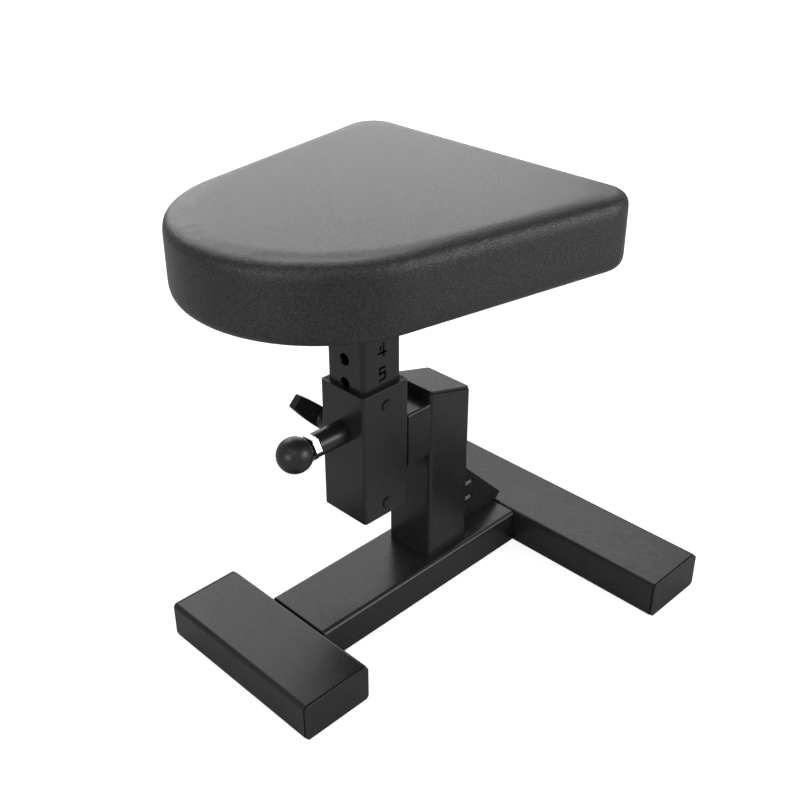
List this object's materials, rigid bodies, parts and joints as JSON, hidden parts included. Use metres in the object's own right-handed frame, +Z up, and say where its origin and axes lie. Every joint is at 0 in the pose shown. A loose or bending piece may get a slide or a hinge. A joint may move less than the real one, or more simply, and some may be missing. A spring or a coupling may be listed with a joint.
{
  "type": "adjustable squat box",
  "caption": "Low padded seat on a numbered sliding post, locked by a sprung pull pin and a winged clamp knob, on a welded T-shaped tube base.",
  "frame": {"origin": "on the floor, on the underside of the main tube straight below the axis of the seat post", "axes": "+X to the right side with the cut numbers, -Y to the front with the pull pin and the round nose of the seat, +Z up"},
  "size_m": [0.46, 0.4533, 0.461],
  "materials": {
    "frame_paint": "black powder coat on steel, satin",
    "cap_plastic": "black moulded plastic, fine texture",
    "guide_plastic": "black nylon",
    "knob_plastic": "black phenolic plastic, satin",
    "tip_plastic": "natural nylon",
    "zinc": "bright zinc plating",
    "spring_steel": "spring steel wire",
    "plywood": "raw plywood",
    "pad_vinyl": "black grained vinyl-coated fabric over foam"
  },
  "bodies": {
    "base": {"front_cross_tube": "frame_paint", "rear_cross_tube": "frame_paint", "main_tube": "frame_paint", "front_cap_left": "cap_plastic", "front_cap_right": "cap_plastic", "rear_cap_left": "cap_plastic", "rear_cap_right": "cap_plastic", "upright_tube": "frame_paint", "upright_cap": "cap_plastic", "spacer_tube": "frame_paint", "gusset_plate": "frame_paint", "sleeve_tube": "frame_paint", "upper_guide": "guide_plastic", "lower_guide": "guide_plastic", "pin_boss": "frame_paint", "plunger_body": "zinc", "plunger_spring": "spring_steel", "clamp_boss": "frame_paint"},
    "seat": {"seat_post": "frame_paint", "post_plug": "cap_plastic", "seat_plate": "frame_paint", "seat_board": "plywood", "tee_nuts": "zinc", "seat_bolts": "zinc", "seat_washers": "zinc", "seat_pad": "pad_vinyl"},
    "pull_pin": {"plunger_pin": "zinc", "spring_collar": "spring_steel", "ball_knob": "knob_plastic"},
    "clamp_shoe": {"clamp_tip": "tip_plastic"},
    "clamp_knob": {"clamp_screw": "zinc", "wing_knob": "knob_plastic"}
  },
  "joints": [
    {"name": "seat_height", "type": "slide", "parent": "base", "child": "seat", "axis": [0, 0, 1], "range_m": [-0.1016, 0.0508]},
    {"name": "pin_pull", "type": "slide", "parent": "base", "child": "pull_pin", "axis": [0, -1, 0], "range_m": [0, 0.01], "stiffness_N_per_m": 2000, "springref_m": -0.015, "deforming": ["plunger_spring"]},
    {"name": "clamp_travel", "type": "slide", "parent": "base", "child": "clamp_shoe", "axis": [-1, 0, 0], "range_m": [0, 0.00187]},
    {"name": "clamp_turn", "type": "hinge", "parent": "clamp_shoe", "child": "clamp_knob", "pos_m": [-0.062, 0, 0.2035], "axis": [-1, 0, 0], "range_deg": [0, 450]}
  ],
  "couplings": [
    {"joint": "clamp_turn", "follows": "clamp_travel", "rad_per_m": 4188.8}
  ]
}
